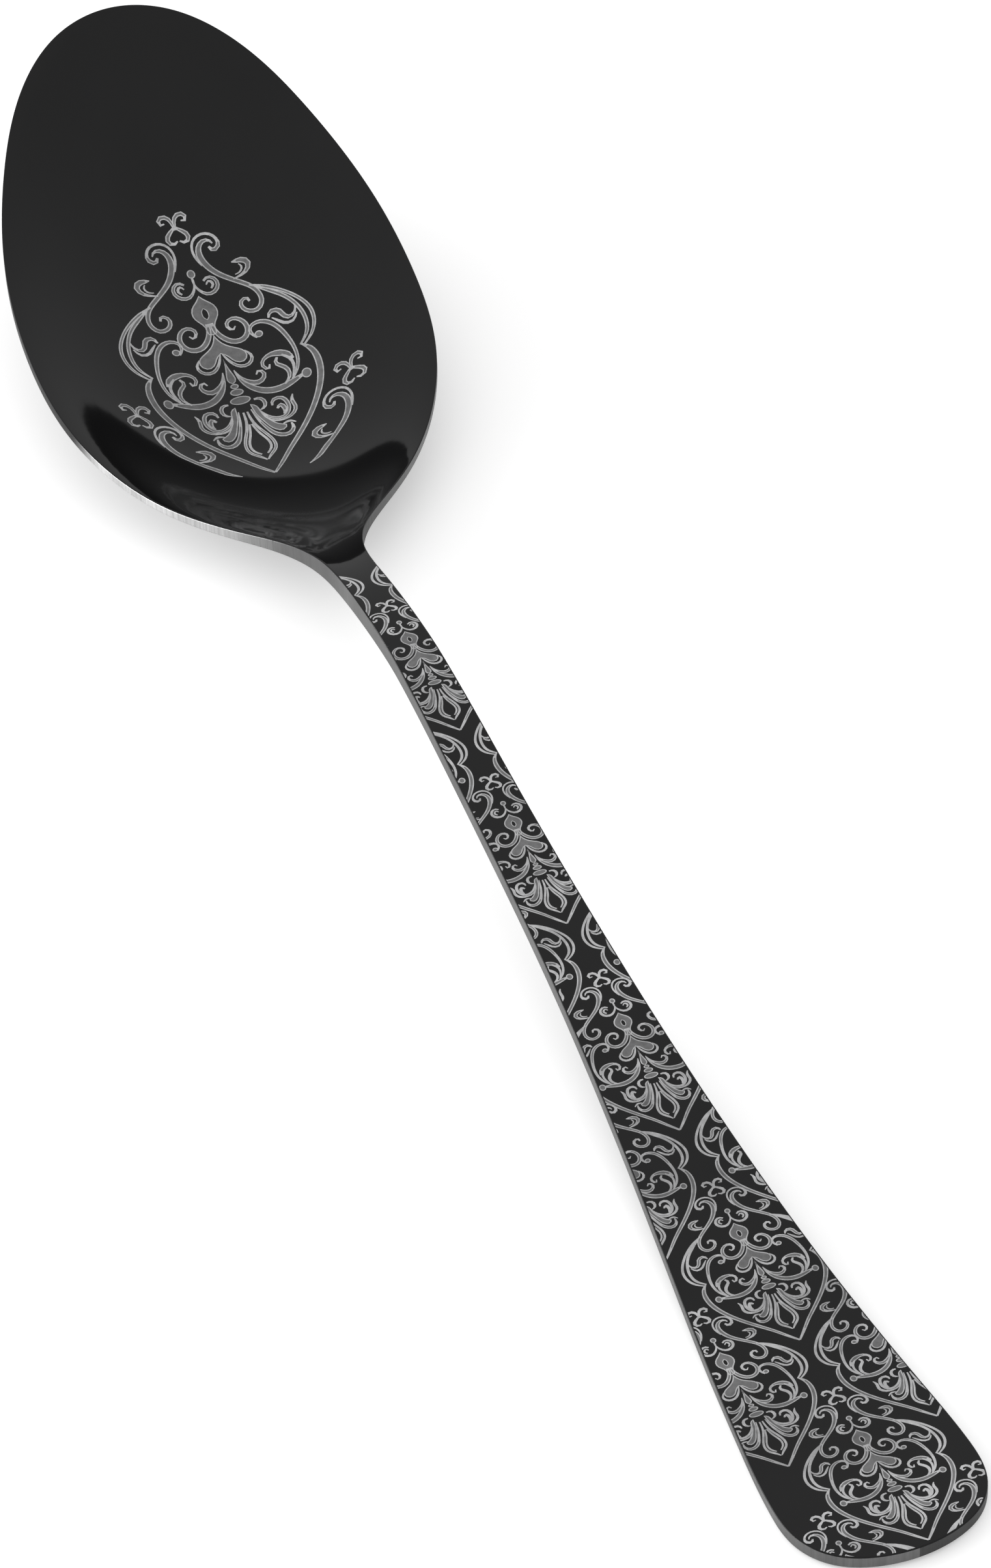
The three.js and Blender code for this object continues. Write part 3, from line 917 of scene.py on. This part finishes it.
        slots = np.concatenate([
            kind, np.full(len(under_faces), Socket.COATING.value),
            np.repeat([Socket.COATING.value] * 2 + [Socket.EDGE.value] * (rows - 1), count)])
        mesh = bpy.data.meshes.new(f"{self.region}_skin")
        outlines = [*faces.tolist(), *under_faces.tolist(), *quads.tolist()]
        mesh.from_pydata((points * MM).tolist(), [], outlines)
        mesh.polygons.foreach_set("material_index", slots.astype(np.int32))
        mesh.polygons.foreach_set("use_smooth", np.ones(len(slots), bool))
        walked = np.r_[0, np.cumsum(np.linalg.norm(np.diff(form.lay(*ring_flat.T), axis=0), axis=1))]
        run = np.concatenate([
            flat, *(np.stack([walked, depth], 1) for depth in drop), under_flat]) * MM
        everywhere = np.concatenate([flat, np.tile(ring_flat, (rows, 1)), under_flat])
        # bareness per point: worn steel plus the painted highlight on the heel
        bare_and_highlight = self.bare_edge_and_painted_highlight(*everywhere.T)
        attribute = mesh.attributes.new("bare_and_highlight", "FLOAT", "POINT")
        attribute.data.foreach_set("value", bare_and_highlight.astype(np.float32))
        uv = mesh.uv_layers.new(name="run")
        corner = np.empty(len(mesh.loops), np.int32)
        mesh.loops.foreach_get("vertex_index", corner)
        uv.uv.foreach_set("vector", run[corner].astype(np.float32).ravel())
        for finish in self.finishes:
            mesh.materials.append(finish)
        mesh.validate()
        mesh.update()
        mesh.normals_split_custom_set_from_vertices(normals.tolist())
        skin = bpy.data.objects.new(f"{self.region}_skin", mesh)
        bpy.context.scene.collection.objects.link(skin)
        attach(skin, "root")
        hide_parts(self.region)
        log.info("%s: %d points, %d faces", skin.name, len(mesh.vertices), len(mesh.polygons))
        return skin

    def bare_edge_and_painted_highlight(self, station: Array, y: Array) -> Array:
        """Returns how bare the edge is: not at all round the bowl's rim, fully at one side of the heel,
        and dulled along the neck and handle. It is partly worn steel and partly a painted highlight:
        the bright heel is painted in as bare steel, and the side at positive y, away from the lamp,
        gets painted shade."""
        # painted highlight: the heel band is made bare steel to stand for its bright lit patch
        heel = ease(station, 48, 53) * (1 - 0.84 * ease(station, 60, 74))
        # painted shade: the side away from the lamp keeps 0.3 of the bareness
        return heel * np.where(y > 0, 0.3, 1.0) * (1 + 0.35 * ease(station, 100, 130))

    def turned_down(self, points: Array, faces: Array) -> Array:
        """Returns whether each triangle faces down: the sign of its cross product's height."""
        a, b, c = (points[faces[:, k]] for k in range(3))
        return np.cross(b - a, c - a)[:, 2] < 0


# ---- the studio ----


@dataclass
class Studio:
    """A pale floor, soft light from all round, and the camera over the handle's side."""

    camera_at: tuple[float, float, float] = (0.35991, -0.13187, 0.34689)
    looks: tuple[float, float, float] = (-0.6935, 0.2592, -0.6722)
    right: tuple[float, float, float] = (0.3786, 0.9249, -0.034)
    lens: float = 130.54

    def camera(self) -> None:
        """Sets the camera from its place, its line of sight and its right-hand direction."""
        data = bpy.data.cameras.new("camera")
        data.lens, data.sensor_width, data.clip_start = self.lens, 36.0, 0.01
        sight = Vector(self.looks).normalized()
        right = Vector(self.right)
        right = (right - sight * right.dot(sight)).normalized()
        up = right.cross(sight)
        turn = Matrix((right, up, -sight)).transposed()
        camera = bpy.data.objects.new("camera", data)
        camera.matrix_world = Matrix.Translation(self.camera_at) @ turn.to_4x4()
        bpy.context.scene.collection.objects.link(camera)
        bpy.context.scene.camera = camera

    def floor(self) -> None:
        """Lays a pale floor that keeps the spoon's soft shadow."""
        reach = 3.0
        corners = np.array([(-1, -1), (1, -1), (1, 1), (-1, 1)]) * reach
        mesh = bpy.data.meshes.new("floor")
        mesh.from_pydata(np.c_[corners, np.zeros(4)].tolist(), [], [(0, 1, 2, 3)])
        nodes = Nodes("pale_floor")
        nodes.feed(nodes.shader, "Base Color", (0.86, 0.86, 0.86, 1.0))
        nodes.feed(nodes.shader, "Roughness", 0.9)
        nodes.feed(nodes.shader, "Specular IOR Level", 0.0)
        seen = nodes.add("LightPath").outputs["Is Camera Ray"]
        nodes.feed(nodes.shader, "Emission Color", (1.0, 1.0, 1.0, 1.0))
        glow = nodes.add("Math", {0: seen, 1: 0.34}, operation="MULTIPLY").outputs[0]
        nodes.feed(nodes.shader, "Emission Strength", glow)
        mesh.materials.append(nodes.material)
        floor = bpy.data.objects.new("floor", mesh)
        bpy.context.scene.collection.objects.link(floor)

    def sky(self) -> None:
        """Surrounds the spoon with pale light, dimmer near the horizon and seen as plain white."""
        world = bpy.data.worlds.new("studio")
        world.use_nodes = True
        tree = world.node_tree
        where = tree.nodes.new("ShaderNodeTexCoord")
        split = tree.nodes.new("ShaderNodeSeparateXYZ")
        ramp = tree.nodes.new("ShaderNodeMapRange")
        tree.links.new(where.outputs["Generated"], split.inputs[0])
        tree.links.new(split.outputs["Z"], ramp.inputs["Value"])
        for key, value in {"From Min": 0.0, "From Max": 0.8, "To Min": 0.52, "To Max": 0.9}.items():
            ramp.inputs[key].default_value = value
        background = tree.nodes["Background"]
        background.inputs["Color"].default_value = (1, 1, 1, 1)
        path = tree.nodes.new("ShaderNodeLightPath")
        seen = tree.nodes.new("ShaderNodeMath")
        seen.operation = "MAXIMUM"
        tree.links.new(ramp.outputs["Result"], seen.inputs[0])
        tree.links.new(path.outputs["Is Camera Ray"], seen.inputs[1])
        tree.links.new(seen.outputs[0], background.inputs["Strength"])
        bpy.context.scene.world = world

    def lamp(self, name: str, at: tuple[float, float, float], aim: tuple[float, float, float],
             size: tuple[float, float], power: float) -> None:
        """Hangs a soft rectangular lamp.

        Args:
            name: The lamp's name.
            at: Its place, m.
            aim: The point it faces, m.
            size: Its width and height, m.
            power: Its power, W.
        """
        data = bpy.data.lights.new(name, "AREA")
        data.shape, data.size, data.size_y, data.energy = "RECTANGLE", *size, power
        lamp = bpy.data.objects.new(name, data)
        way = (Vector(aim) - Vector(at)).to_track_quat("-Z", "Y")
        lamp.matrix_world = Matrix.Translation(at) @ way.to_matrix().to_4x4()
        bpy.context.scene.collection.objects.link(lamp)

    def build(self) -> None:
        """Builds the whole studio."""
        self.camera()
        self.floor()
        self.sky()
        self.lamp("side_lamp", (-0.14, -0.42, 0.15), (-0.04, -0.02, 0.004), (0.6, 0.25), 1.8)
        bpy.context.scene.view_settings.view_transform = "Standard"


def main() -> None:
    """Builds the studio, then the four skins of the spoon from tip to end."""
    logging.basicConfig(level=logging.INFO, format="%(message)s")
    Studio().build()
    form = SpoonForm()
    pattern = Pattern(form)
    finishes = [
        BlackCoating().build(), Etched("etched_field", 0.14, 0.55).build(),
        Etched("etched_line", 0.42, 0.5).build(), GroundEdge().build(),
    ]
    ornament = {"bowl": pattern.medallion()}
    for region in ("neck", "handle", "handle_end"):
        ornament[region] = pattern.handle(*form.cuts[region])
    for region, figures in ornament.items():
        Skin(region, form, figures, finishes).build()


if __name__ == "__main__":
    main()
